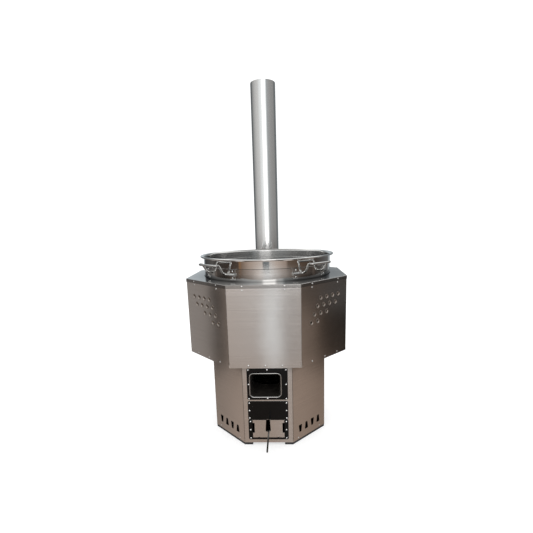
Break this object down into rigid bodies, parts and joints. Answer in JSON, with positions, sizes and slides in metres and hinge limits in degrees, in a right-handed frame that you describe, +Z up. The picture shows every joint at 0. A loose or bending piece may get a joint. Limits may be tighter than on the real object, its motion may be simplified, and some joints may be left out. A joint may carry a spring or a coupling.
{
  "type": "cauldron stove",
  "caption": "Wood-fired cauldron stove: octagonal steel housing and cabinet, lift-out cauldron with handles, fuel feed, ash drawer, shaker grate and rear chimney.",
  "frame": {"origin": "on the floor, at the middle of the object's bounding box; the cauldron's axis stands at x = 0, y = -0.043 m", "axes": "+Z up, -Y towards the cook, who faces the fuel feed, +X to the right as seen from the front"},
  "size_m": [0.7756, 1.026, 1.885],
  "materials": {
    "brushed_stainless": "brushed",
    "dark_stainless": "brushed",
    "polished_stainless": "polished",
    "black_enamel": "satin black",
    "black_rubber": "matt",
    "fire_steel": "smoked, matt",
    "bright_zinc": "zinc plated"
  },
  "bodies": {
    "stove": {"base_pan": "dark_stainless", "blanking_plate": "black_enamel", "cabinet_panel_back": "brushed_stainless", "cabinet_panel_back_left": "brushed_stainless", "cabinet_panel_back_right": "brushed_stainless", "cabinet_panel_front": "brushed_stainless", "cabinet_panel_front_left": "brushed_stainless", "cabinet_panel_front_right": "brushed_stainless", "cabinet_panel_left": "brushed_stainless", "cabinet_panel_right": "brushed_stainless", "combustion_chamber": "fire_steel", "drawer_frame": "black_enamel", "drawer_runner_left": "dark_stainless", "drawer_runner_right": "dark_stainless", "feed_frame": "black_enamel", "feed_rim": "polished_stainless", "feed_tube": "fire_steel", "firebox_floor": "fire_steel", "flue_collar": "fire_steel", "flue_elbow": "brushed_stainless", "flue_flange": "brushed_stainless", "foot_rail_back_left": "black_rubber", "foot_rail_back_right": "black_rubber", "foot_rail_front_left": "black_rubber", "foot_rail_front_right": "black_rubber", "grate_rail_left": "fire_steel", "grate_rail_right": "fire_steel", "housing_floor": "dark_stainless", "housing_panel_back": "brushed_stainless", "housing_panel_back_left": "brushed_stainless", "housing_panel_back_right": "brushed_stainless", "housing_panel_front": "brushed_stainless", "housing_panel_front_left": "brushed_stainless", "housing_panel_front_right": "brushed_stainless", "housing_panel_left": "brushed_stainless", "housing_panel_right": "brushed_stainless", "inner_liner": "fire_steel", "pot_trivet": "fire_steel", "top_plate": "brushed_stainless"},
    "cauldron": {"handle_saddle_back_left_a": "polished_stainless", "handle_saddle_back_left_b": "polished_stainless", "handle_saddle_back_right_a": "polished_stainless", "handle_saddle_back_right_b": "polished_stainless", "handle_saddle_front_left_a": "polished_stainless", "handle_saddle_front_left_b": "polished_stainless", "handle_saddle_front_right_a": "polished_stainless", "handle_saddle_front_right_b": "polished_stainless", "pot_body": "polished_stainless", "pot_handle_back_left": "polished_stainless", "pot_handle_back_right": "polished_stainless", "pot_handle_front_left": "polished_stainless", "pot_handle_front_right": "polished_stainless"},
    "ash_drawer": {"ash_tray": "dark_stainless", "drawer_front": "brushed_stainless"},
    "shaker_grate": {"grate": "fire_steel", "grate_strap": "fire_steel", "rod_nut": "bright_zinc", "shaker_rod": "black_enamel"},
    "chimney": {"chimney_pipe": "polished_stainless"}
  },
  "joints": [
    {"name": "cauldron_lift", "type": "slide", "parent": "stove", "child": "cauldron", "axis": [0, 0, 1], "range_m": [0, 0.32]},
    {"name": "ash_drawer_slide", "type": "slide", "parent": "stove", "child": "ash_drawer", "axis": [0, -1, 0], "range_m": [0, 0.22]},
    {"name": "grate_shake", "type": "slide", "parent": "stove", "child": "shaker_grate", "axis": [0, -1, 0], "range_m": [-0.02, 0.02]},
    {"name": "chimney_lift", "type": "slide", "parent": "stove", "child": "chimney", "axis": [0, 0, 1], "range_m": [0, 0.06]}
  ]
}
